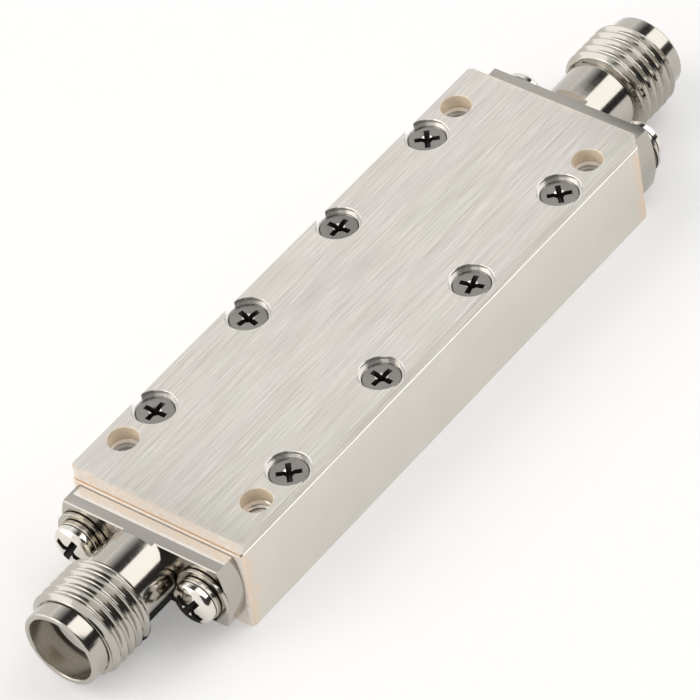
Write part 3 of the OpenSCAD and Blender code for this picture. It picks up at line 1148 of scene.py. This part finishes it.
@dataclass
class LidScrew:
    """Countersunk lid screw with a cross recess. Lengths are in millimetres."""

    shank: Shank = Shank()
    head_r: float = 1.25
    rim: float = 0.08
    grip: float = 2.8
    top_z: float = 6.62
    seam_z: float = 6.0
    head_break: float = 0.08
    neck_run: float = 0.1
    recess: DriverCross = DriverCross(0.36, 1.62, 0.6, facet_r=0.4, facet_depth=0.2)
    turns: tuple[float, ...] = (1, 77, 2, 40, 42, 85, 15, 45)

    def model(self, name: str, turn: float) -> Piece:
        """Models one screw about its own axis, with zero height at the head's top.

        Args:
            name: Name of the piece.
            turn: How far the cross is turned, in degrees.

        Returns:
            The screw as drawn.
        """
        edge = self.head_break
        tip = self.seam_z - self.grip - self.top_z
        neck = -self.rim - (self.head_r - self.shank.thread_r)
        top = neck - self.neck_run
        screw = turned(name, [
            *self.shank.outline(tip, top, neck),
            (self.head_r, -self.rim), (self.head_r - edge, 0.0), (0.0, 0.0)], 72)
        # The second finish is painted shade, for the cross recess.
        wear(screw, Finishes.LID_SCREW, Finishes.PAINTED_SHADE, Finishes.CUT_EDGE)
        self.shank.thread(tip, top).cut_on(screw, self.shank.run_out)
        self.recess.cut_in(screw, 0.0, turn)
        clean(screw)
        return screw

    def build(self, places: Sequence[tuple[float, float]]) -> None:
        """Models a screw for each place, with its own turn of the cross, and hands it over.

        Args:
            places: X and Y of each screw.
        """
        for number, ((x, y), turn) in enumerate(zip(places, self.turns), start=1):
            screw = self.model(f"lid_fastener_{number}", turn)
            settle(screw, Matrix.Translation((x, y, self.top_z)))
            hand_over(screw, f"lid_screw_{number}")


@dataclass
class PortShell:
    """Threaded socket with its two-hole flange. Lengths are in millimetres."""

    flange_r: float = 6.35
    flange_h: float = 4.7
    flange_t: float = 1.6
    front_break: float = 0.07
    back_break: float = 0.14
    screw_y: float = 4.6
    screw_hole_r: float = 0.88
    barrel_r: float = 2.63
    flat_run: float = 0.25
    thread: Thread = Thread(3.175, 0.7056, 3.1, 6.85, phase=0.17)
    run_out: float = 0.22
    shoulder: tuple[float, float] = (-0.02, 0.05)
    undercut: tuple[float, float] = (-0.16, -0.1)
    relief_r: float = 2.62
    nose_r: float = 2.7
    nose_rise: float = 0.06
    nose_break: float = 0.14
    length: float = 8.1
    mouth_r: float = 2.31
    mouth_depth: float = 1.95
    mouth_break: float = 0.08
    mouth_round: tuple[float, float] = (0.35, 0.3)
    bore_r: float = 2.05
    hole_break: float = 0.04
    flat_over: float = 0.5
    flat_reach: float = 3.0
    finishes: tuple[Finish, ...] = (Finishes.SOCKET, Finishes.BORE, Finishes.PAINTED_SHADE, Finishes.FLAT)
    BORE = 1
    PAINTED_SHADE = 2
    FLAT = 3

    def model(self) -> Piece:
        """Models the socket about its own axis.

        Returns:
            The socket as drawn.
        """
        root = self.thread.root_r
        start, end = self.thread.start, self.thread.end
        shell = turned("shell", [
            (0.0, -self.flange_t / 2), (self.barrel_r, -self.flange_t / 2),
            (self.barrel_r, start + self.shoulder[0]), (root, start + self.shoulder[1]),
            (root, end + self.undercut[0]), (self.relief_r, end + self.undercut[1]),
            (self.relief_r, end), (self.nose_r, end + self.nose_rise),
            *arc((self.nose_r - self.nose_break, self.length - self.nose_break),
                 (self.nose_break, self.nose_break), 0.0, 90.0, 5),
            (0.0, self.length)], 144)
        wear(shell, *self.finishes)
        self.thread.cut_on(shell, self.run_out)
        work_in(shell, self.flange(), Joining.WELD)
        for side in (-1, 1):
            near, far = side * self.flange_h / 2, side * (self.barrel_r + self.flat_over)
            flat = bar("flat", (min(near, far), -self.flat_reach, -self.flange_t),
                       (max(near, far), self.flat_reach, self.flat_run))
            work_in(shell, flat, Joining.CUT, self.FLAT)
        work_in(shell, self.bore_cutter(), Joining.CUT)
        for across in (-self.screw_y, self.screw_y):
            drill = plug("drill", self.screw_hole_r, -self.flange_t, 0.0, self.hole_break)
            drill.location = (0.0, across, 0.0)
            work_in(shell, drill, Joining.CUT)
        clean(shell)
        return shell

    def flange(self) -> Piece:
        """Models the round flange, milled flat on two sides.

        Returns:
            The flange, with its front at zero height.
        """
        bpy.ops.mesh.primitive_cylinder_add(vertices=192, radius=self.flange_r, depth=self.flange_t,
                                            location=(0.0, 0.0, -self.flange_t / 2))
        flange = wear(bpy.context.active_object, *self.finishes)
        make_active(flange)
        bpy.ops.object.transform_apply(location=True, rotation=True, scale=True)
        for side in (-1, 1):
            with editing(flange):
                bpy.ops.mesh.select_all(action="SELECT")
                bpy.ops.mesh.bisect(plane_co=(side * self.flange_h / 2, 0, 0), plane_no=(side, 0, 0),
                                    use_fill=True, clear_outer=True)
        clean(flange)
        tint(flange, self.FLAT, faces_along_x(0.99))
        bevel_edges(flange, self.back_break, 2, lies_at(-self.flange_t))
        # Painted shadow on the back edge break, where the flange meets the block.
        tint(flange, self.PAINTED_SHADE, slants(-0.97, -0.5))
        bevel_edges(flange, self.front_break, 1, lies_at(0.0))
        return flange

    def bore_cutter(self) -> Piece:
        """Cutter for the bore that holds the insulator and for the open mouth.

        Returns:
            The cutter, which wears what the socket gets from it.
        """
        face, edge, past = self.length - self.mouth_depth, self.mouth_break, self.length + OVERCUT
        across, along = self.mouth_round
        cutter = turned("bore", [
            (0.0, -self.flange_t - OVERCUT), (self.bore_r, -self.flange_t - OVERCUT),
            (self.bore_r, face), (self.mouth_r, face), (self.mouth_r, self.length - edge),
            (self.mouth_r + edge * across, self.length - edge * along),
            (self.mouth_r + edge + OVERCUT, past), (0.0, past)], 144)
        wear(cutter, *self.finishes)
        tint(cutter, self.BORE)
        # Painted shade on the step round the insulator face, at the foot of the mouth.
        tint(cutter, self.PAINTED_SHADE, lambda part: abs(part.normal.z) > 1.0 - WELD
             and abs(part.calc_center_median().z - face) < WELD)
        return cutter


@dataclass
class PortCore:
    """Insulator and slotted centre contact of a port. Lengths are in millimetres."""

    insulator_r: float = 2.03
    hole_r: float = 0.655
    back: float = -3.1
    face: float = 6.15
    contact_r: float = 0.635
    contact_bore_r: float = 0.46
    contact_bore_depth: float = 2.6
    contact_front: float = 6.1
    slot_w: float = 0.16
    tail_r: float = 0.45
    tail_tip: float = -7.5
    insulator_break: float = 0.06
    contact_break: float = 0.05
    drill_point: float = 0.2

    def insulator(self) -> Piece:
        """Models the insulator about its own axis.

        Returns:
            The insulator as drawn.
        """
        edge = self.insulator_break
        return wear(turned("insulator", [
            (self.hole_r, self.back), (self.insulator_r, self.back), (self.insulator_r, self.face - edge),
            (self.insulator_r - edge, self.face), (self.hole_r + edge, self.face),
            (self.hole_r, self.face - edge), (self.hole_r, self.back)], 96), Finishes.INSULATOR)

    def contact(self) -> Piece:
        """Models the contact about its own axis, with a slotted mouth and a solder tail.

        Returns:
            The contact as drawn.
        """
        edge, front = self.contact_break, self.contact_front
        floor = front - self.contact_bore_depth
        contact = turned("contact", [
            (0.0, self.tail_tip), (self.tail_r - edge, self.tail_tip),
            (self.tail_r, self.tail_tip + edge), (self.tail_r, self.back),
            (self.contact_r - edge, self.back), (self.contact_r, self.back + edge),
            (self.contact_r, front - edge), (self.contact_r - edge, front),
            (self.contact_bore_r + edge, front), (self.contact_bore_r, front - edge),
            (self.contact_bore_r, floor), (0.0, floor - self.drill_point)], 48)
        wear(contact, Finishes.CONTACT)
        for turn in (0.0, 90.0):
            slot = bar("slot", (-1.0, -self.slot_w / 2, floor),
                       (1.0, self.slot_w / 2, front + 2 * OVERCUT))
            slot.rotation_euler = (0.0, 0.0, math.radians(turn))
            work_in(contact, slot, Joining.CUT)
        clean(contact)
        return contact


@dataclass
class FlangeFixing:
    """Domed screw, spring washer and plain washer of a flange. Lengths are in millimetres."""

    hole_r: float = 0.88
    plain_r: float = 1.88
    plain_t: float = 0.3
    plain_break: float = 0.03
    spring_r: float = 1.5
    spring_t: float = 0.4
    spring_break: float = 0.05
    seat_break: float = 0.08
    split_w: float = 0.28
    split_slant: float = 35.0
    split_reach: float = 3.0
    head_r: float = 1.45
    head_h: float = 0.9
    head_side: float = 0.36
    neck_run: float = 0.2
    shank: Shank = Shank()
    reach: float = 3.5
    recess: DriverCross = DriverCross(0.5, 2.3, 0.75)
    # Place of the painted shade under the washers' and the screw head's outer edges.
    UNDER = 1

    def ring(self, name: str, outer: float, thickness: float, edge: float) -> Piece:
        """Models a flat ring with broken edges, with painted shade on the break under its outer edge.

        Args:
            name: Name of the new piece.
            outer: Its outer radius.
            thickness: Its height above zero.
            edge: Width of its edge breaks.

        Returns:
            The ring, standing on height zero.
        """
        inner, seat = self.hole_r, self.seat_break
        washer = turned(name, [
            (inner, edge), (inner + edge, 0.0), (outer - seat, 0.0), (outer, seat),
            (outer, thickness - edge), (outer - edge, thickness), (inner + edge, thickness),
            (inner, thickness - edge), (inner, edge)], 96)
        wear(washer, Finishes.WASHER, Finishes.PAINTED_SHADE)
        # Painted shade on the break under the outer edge.
        tint(washer, self.UNDER, lambda face: self.is_under(face, outer - seat))
        return washer

    def is_under(self, face: bmesh.types.BMFace, past_r: float) -> bool:
        """Whether a face is the slanted break under a round edge, past a radius."""
        return -0.9 < face.normal.z < -0.3 and face.calc_center_median().xy.length > past_r

    def plain_washer(self) -> Piece:
        """Models the plain washer."""
        return self.ring("plain_washer", self.plain_r, self.plain_t, self.plain_break)

    def spring_washer(self, turn: float) -> Piece:
        """Models the spring washer.

        Args:
            turn: How far its slanted split is turned, in degrees.

        Returns:
            The washer as drawn.
        """
        washer = self.ring("spring_washer", self.spring_r, self.spring_t, self.spring_break)
        split = bar("split", (0.0, -self.split_w / 2, -1.0), (self.split_reach, self.split_w / 2, 1.0))
        slant = Matrix.Rotation(math.radians(self.split_slant), 4, "X")
        split.matrix_world = (Matrix.Rotation(math.radians(turn), 4, "Z")
                              @ Matrix.Translation((0.0, 0.0, self.spring_t / 2)) @ slant)
        work_in(washer, split, Joining.CUT)
        clean(washer)
        return washer

    def screw(self, turn: float) -> Piece:
        """Models the domed screw, with zero height at its seat.

        Args:
            turn: How far its cross is turned, in degrees.

        Returns:
            The screw as drawn.
        """
        tip, edge = -self.reach - self.plain_t - self.spring_t, self.seat_break
        dome = arc((0.0, self.head_side), (self.head_r, self.head_h - self.head_side), 0.0, 90.0, 12)
        screw = turned("dome_screw", [
            *self.shank.outline(tip, -self.neck_run, 0.0),
            (self.head_r - edge, 0.0), (self.head_r, edge), *dome], 96)
        # The second finish is painted shade, for the cross recess and under the head's edge.
        wear(screw, Finishes.DOME_SCREW, Finishes.PAINTED_SHADE, Finishes.DOME_SCREW)
        self.shank.thread(tip, -self.neck_run).cut_on(screw, self.shank.run_out)
        self.recess.cut_in(screw, self.head_h, turn)
        clean(screw)
        # Painted shade on the break under the head's edge.
        tint(screw, self.UNDER, lambda face: self.is_under(face, self.head_r - edge))
        return screw


@dataclass
class Port:
    """One end of the filter: its socket, core and two flange fixings."""

    number: int
    side: int
    face_x: float
    screw_turns: tuple[float, float]
    split_turns: tuple[float, float]
    spin: float = 0.0
    axis_h: float = 3.5

    def build(self, shell: PortShell, core: PortCore, fixing: FlangeFixing, master: Piece) -> None:
        """Places the socket, its core and its fixings at this end.

        Args:
            shell: Sizes of the socket.
            core: Maker of the insulator and contact.
            fixing: Maker of the screws and washers.
            master: The socket as drawn, which is copied.
        """
        place = end_place(self.side, self.face_x + shell.flange_t, self.axis_h)
        name = f"port{self.number}"
        parts = [
            (copied(master, f"{name}_shell"), f"{name}_shell", f"{name}_socket", "socket_metal"),
            (core.insulator(), f"{name}_dielectric", f"{name}_insulator", "insulator"),
            (core.contact(), f"{name}_centre_pin", f"{name}_contact", "contact_metal"),
        ]
        spun = place @ Matrix.Rotation(math.radians(self.spin), 4, "Z")
        for piece, piece_name, node, slot in parts:
            piece.name = piece_name
            settle(piece, spun)
            hand_over(piece, node)
        hands = ((1, "left"), (-1, "right"))
        for (hand, label), turn, split in zip(hands, self.screw_turns, self.split_turns):
            across = place @ Matrix.Translation((0.0, -self.side * hand * shell.screw_y, 0.0))
            self.fasten(fixing, across, label, turn, split)

    def fasten(self, fixing: FlangeFixing, seat: Matrix, label: str, turn: float, split: float) -> None:
        """Places a plain washer, a spring washer and a screw on one flange hole.

        Args:
            fixing: Maker of the three.
            seat: Place of the hole on the flange's front.
            label: left or right, as seen facing the socket.
            turn: Turn of the screw's cross in degrees.
            split: Turn of the spring washer's split in degrees.
        """
        name = f"port{self.number}"
        stack = [
            (fixing.plain_washer(), 0.0, f"{name}_plain_washer_{label}", f"{name}_flat_washer_{label}",
             "washer_steel"),
            (fixing.spring_washer(split), fixing.plain_t, f"{name}_spring_washer_{label}",
             f"{name}_split_washer_{label}", "washer_steel"),
            (fixing.screw(turn), fixing.plain_t + fixing.spring_t, f"{name}_dome_screw_{label}",
             f"{name}_screw_{label}", "flange_screw_steel"),
        ]
        for piece, lift, piece_name, node, slot in stack:
            piece.name = piece_name
            settle(piece, seat @ Matrix.Translation((0.0, 0.0, lift)))
            hand_over(piece, node)


@dataclass(frozen=True)
class InnerParts:
    """Board, resonators and tabs in the closed pocket, which keep their own solids."""

    count: int = 5

    def dress(self) -> None:
        """Gives each solid its finish."""
        self.cover("circuit_board", Finishes.BOARD)
        for number in range(1, self.count + 1):
            self.cover(f"resonator_{number}", Finishes.CERAMIC)
            self.cover(f"tab_{number}", Finishes.TAB)

    def cover(self, node: str, finish: Finish) -> None:
        """Puts a finish on one solid.

        Args:
            node: Name of the solid.
            finish: What it wears.
        """
        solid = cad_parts[node]
        solid.data.materials.clear()
        solid.data.materials.append(finish.material())
        LOG.info("%s: finish %s", node, finish.name)


@dataclass(frozen=True)
class PhotoCamera:
    """Camera at the photograph's angle. Lengths are in metres and angles in degrees."""

    lens_mm: float = 301.289
    sensor_mm: float = 36.0
    aim: tuple[float, float, float] = (-0.00153, 0.00007, 0.00371)
    distance: float = 0.3595
    back: tuple[float, float, float] = (-0.51820384, -0.50182382, 0.69255876)
    roll: float = -10.0
    nearest: float = 0.01

    def build(self) -> None:
        """Makes the camera the scene's own."""
        data = bpy.data.cameras.new("photo_camera")
        data.lens = self.lens_mm
        data.sensor_width = self.sensor_mm
        data.clip_start = self.nearest
        camera = bpy.data.objects.new("photo_camera", data)
        bpy.context.scene.collection.objects.link(camera)
        back = Vector(self.back).normalized()
        camera.location = Vector(self.aim) + back * self.distance
        camera.rotation_mode = "QUATERNION"
        camera.rotation_quaternion = (back.to_track_quat("Z", "Y")
                                      @ Quaternion((0.0, 0.0, 1.0), math.radians(self.roll)))
        bpy.context.scene.camera = camera


def facing(way: Vector) -> Quaternion:
    """Turn that points Z along a way and keeps X as near the housing's length as can be.

    Args:
        way: The way in the frame.

    Returns:
        The turn.
    """
    up = way.normalized()
    along = (Vector((1.0, 0.0, 0.0)) - up * up.x).normalized()
    return Matrix((along, up.cross(along), up)).transposed().to_quaternion()


@dataclass(frozen=True)
class Strip:
    """Card along a port that only polished metal sees. Lengths are in millimetres.

    Its two long edges are given as they lie across the port, from the port's axis.
    """

    name: str
    run: tuple[float, float]
    first: tuple[float, float]
    second: tuple[float, float]
    level: float
    fade: float | None = None
    axis_h: float = 3.5

    def hang(self) -> None:
        """Hangs the strip."""
        centre_y, centre_z = ((a + b) / 2 for a, b in zip(self.first, self.second))
        centre = Vector((sum(self.run) / 2, centre_y, self.axis_h + centre_z)) * MM
        along = Vector((self.run[1] - self.run[0], 0.0, 0.0)) * MM
        across = Vector((0.0, self.second[0] - self.first[0], self.second[1] - self.first[1])) * MM
        hang_card(self.name, centre, along, across, self.level, self.fade)


@dataclass(frozen=True)
class Panel:
    """Upright card that only polished metal sees. Lengths are in metres."""

    name: str
    first: tuple[float, float]
    second: tuple[float, float]
    heights: tuple[float, float]
    level: float

    def hang(self) -> None:
        """Stands the panel."""
        low, high = self.heights
        start, end = Vector((*self.first, low)), Vector((*self.second, low))
        up = Vector((0.0, 0.0, high - low))
        hang_card(self.name, (start + end + up) / 2, end - start, up, self.level)


@dataclass(frozen=True)
class FlatCard:
    """Card on the floor that only polished metal sees. Lengths are in metres."""

    name: str
    low: tuple[float, float]
    high: tuple[float, float]
    level: float

    def hang(self) -> None:
        """Lays the card on the floor."""
        low, high = Vector((*self.low, 0.0)), Vector((*self.high, 0.0))
        size = high - low
        along, across = Vector((size.x, 0.0, 0.0)), Vector((0.0, size.y, 0.0))
        hang_card(self.name, (low + high) / 2, along, across, self.level)


def hang_card(name: str, centre: Vector, along: Vector, across: Vector, level: float,
              fade: float | None = None) -> None:
    """Hangs a grey card that nothing sees but reflections, a painted reflection: it glows at its level,
    lights nothing and casts no shadow. Lengths are in metres.

    Args:
        name: Name of the card.
        centre: Its middle.
        along: Its length and way.
        across: Its width and way.
        level: Its brightness, where 1 is white.
        fade: Brightness of its first edge across, if it fades from there.
    """
    bpy.ops.mesh.primitive_plane_add(size=1.0)
    card = bpy.context.active_object
    card.name = name
    sides = (along.normalized(), across.normalized(), along.cross(across).normalized())
    card.matrix_world = (Matrix.Translation(centre) @ Matrix(sides).transposed().to_4x4()
                         @ Matrix.Diagonal((along.length, across.length, 1.0, 1.0)))
    bench = NodeBench(name)
    bench.shader.inputs["Base Color"].default_value = BLACK
    bench.shader.inputs["Specular IOR Level"].default_value = 0.0
    bench.shader.inputs["Emission Color"].default_value = WHITE
    if fade is None:
        bench.shader.inputs["Emission Strength"].default_value = level
    else:
        bench.join(bench.ranged(bench.along("Y"), FADE_RUN, (fade, level)),
                   bench.shader.inputs["Emission Strength"])
    card.data.materials.append(bench.material)
    for way in ("camera", "diffuse", "transmission", "shadow"):
        setattr(card, f"visible_{way}", False)


@dataclass(frozen=True)
class Softbox:
    """Area lamp that faces the object. Lengths are in metres."""

    name: str
    direction: tuple[float, float, float]
    distance: float
    size: tuple[float, float]
    level: float
    colour: Colour = (1.0, 1.0, 1.0)
    mirrored: bool = True

    def hang(self) -> None:
        """Hangs the lamp, with its power set from the brightness that its face shows."""
        data = bpy.data.lights.new(self.name, "AREA")
        data.shape = "RECTANGLE"
        data.size, data.size_y = self.size
        data.energy = self.level * math.pi * self.size[0] * self.size[1]
        data.color = self.colour
        lamp = bpy.data.objects.new(self.name, data)
        bpy.context.scene.collection.objects.link(lamp)
        way = Vector(self.direction).normalized()
        lamp.location = way * self.distance
        lamp.rotation_mode = "QUATERNION"
        lamp.rotation_quaternion = facing(way)
        lamp.visible_glossy = self.mirrored


@dataclass(frozen=True)
class Studio:
    """Pale floor, even surround, softboxes and the glowing cards that paint light and shade into the
    reflections.
    """

    floor_size: float = 3.0
    floor_drop: float = 0.00002
    floor_colour: Colour = (0.92, 0.92, 0.92)
    floor_roughness: float = 0.7
    floor_sheen: float = 0.1
    floor_lift: float = 0.23
    speckle_cells: float = 900.0
    speckle_tone: float = 0.985
    surround_white: float = 1.0
    surround_fill: float = 0.5
    softboxes: tuple[Softbox, ...] = (
        Softbox("key_softbox", (0.518, -0.434, 0.737), 0.6, (0.60, 0.61), 0.95, (1.0, 0.98, 0.955)),
        Softbox("end_softbox", (-0.52, 0.50, 0.69), 0.6, (0.4, 0.4), 1.8, (1.0, 0.92, 0.85)),
        Softbox("low_end_softbox", (-0.97, 0.12, 0.2), 0.5, (0.3, 0.15), 3.0, (1.0, 0.95, 0.90), False),
    )
    cards: tuple[Strip | Panel | FlatCard, ...] = (
        # Each card is a painted reflection that only polished metal mirrors: dark ones stand in for
        # shade, bright ones for light. The strips paint a dark band, fading to a bright edge, along each
        # port's barrel.
        Strip("near_card", (-27.0, -12.8), (15.5, 15.1), (-3.1, 20.3), 0.04, 1.3),
        Strip("far_card", (34.3, 48.0), (15.5, 15.1), (-2.6, 20.3), 0.04, 1.2),
        Panel("side_panel", (0.05, -0.25), (0.32, -0.25), (0.03, 0.158), 0.03),
        Panel("camera_side_panel", (-0.40, -0.25), (0.14, -0.372), (0.0, 0.5), 0.06),
        # Painted highlight: a glowing panel that is no lamp, mirrored as white arcs on the washers.
        Panel("painted_highlight_panel", (-0.36, 0.13), (0.02, 0.36), (0.0, 0.26), 1.7),
        # Painted shadow: a dark card standing for the shaded floor under the near port, as the metal
        # mirrors it.
        FlatCard("painted_floor_shadow_card", (-0.026, -0.0042), (-0.0205, 0.0013), 0.03),
        FlatCard("left_floor_card", (-0.027, 0.0015), (-0.0205, 0.0065), 0.85),
    )

    def build(self) -> None:
        """Sets the stage."""
        self.lay_floor()
        self.light_surround()
        for thing in (*self.softboxes, *self.cards):
            thing.hang()
        bpy.context.scene.view_settings.view_transform = "Standard"

    def lay_floor(self) -> None:
        """Lays the floor just under the object."""
        bpy.ops.mesh.primitive_plane_add(size=self.floor_size, location=(0.0, 0.0, -self.floor_drop))
        floor = bpy.context.active_object
        floor.name = "floor"
        bench = NodeBench("pale_floor")
        speckle = bench.noise((self.speckle_cells,) * 3, detail=3.0)
        darker = tuple(c * self.speckle_tone for c in self.floor_colour)
        shade = bench.blended(bench.ranged(speckle, NOISE_SPAN), self.floor_colour, darker)
        bench.join(shade, bench.shader.inputs["Base Color"])
        bench.shader.inputs["Roughness"].default_value = self.floor_roughness
        bench.shader.inputs["Specular IOR Level"].default_value = self.floor_sheen
        bench.shader.inputs["Emission Color"].default_value = WHITE
        bench.join(bench.ranged(bench.seen(), UNIT, (0.0, self.floor_lift)),
                   bench.shader.inputs["Emission Strength"])
        floor.data.materials.append(bench.material)

    def light_surround(self) -> None:
        """Even white surround, at a plain fill level for the light that it sheds."""
        world = bpy.data.worlds.new("surround")
        bpy.context.scene.world = world
        world.use_nodes = True
        tree = world.node_tree
        tree.nodes.clear()
        shown = tree.nodes.new("ShaderNodeBackground")
        shed = tree.nodes.new("ShaderNodeBackground")
        shown.inputs["Strength"].default_value = self.surround_white
        shed.inputs["Strength"].default_value = self.surround_fill
        shown.inputs["Color"].default_value = WHITE
        shed.inputs["Color"].default_value = WHITE
        mix = tree.nodes.new("ShaderNodeMixShader")
        output = tree.nodes.new("ShaderNodeOutputWorld")
        tree.links.new(seen_by_camera(tree), mix.inputs["Fac"])
        tree.links.new(shed.outputs[0], mix.inputs[1])
        tree.links.new(shown.outputs[0], mix.inputs[2])
        tree.links.new(mix.outputs[0], output.inputs["Surface"])


@dataclass(frozen=True)
class LidScrewRows:
    """Two rows of lid screws. Lengths are in millimetres, from the middle of the lid."""

    last_x: float = 13.87
    row_y: float = 5.14
    per_row: int = 4

    def places(self) -> tuple[tuple[float, float], ...]:
        """X and Y of each screw, the +Y row first, each row from -X to +X."""
        gap = 2 * self.last_x / (self.per_row - 1)
        steps = [-self.last_x + gap * i for i in range(self.per_row)]
        return tuple((x, y) for y in (self.row_y, -self.row_y) for x in steps)


def main() -> None:
    """Builds the filter and its studio."""
    logging.basicConfig(level=logging.INFO, format="%(message)s")
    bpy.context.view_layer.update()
    PhotoCamera().build()
    Studio().build()
    places = LidScrewRows().places()
    HousingBlock(lid_tap_at=places).build()
    LidPlate(screw_at=places).build()
    LidScrew().build(places)
    shell, core, fixing = PortShell(), PortCore(), FlangeFixing()
    master = shell.model()
    face_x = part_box("housing_body")[1].x / MM
    ports = (
        Port(number=1, side=-1, face_x=face_x, screw_turns=(60, 50), split_turns=(150, 60)),
        Port(number=2, side=1, face_x=face_x, screw_turns=(50, 10), split_turns=(200, 320), spin=180.0),
    )
    for port in ports:
        port.build(shell, core, fixing, master)
    bpy.data.objects.remove(master)
    InnerParts().dress()


if __name__ == "__main__":
    main()
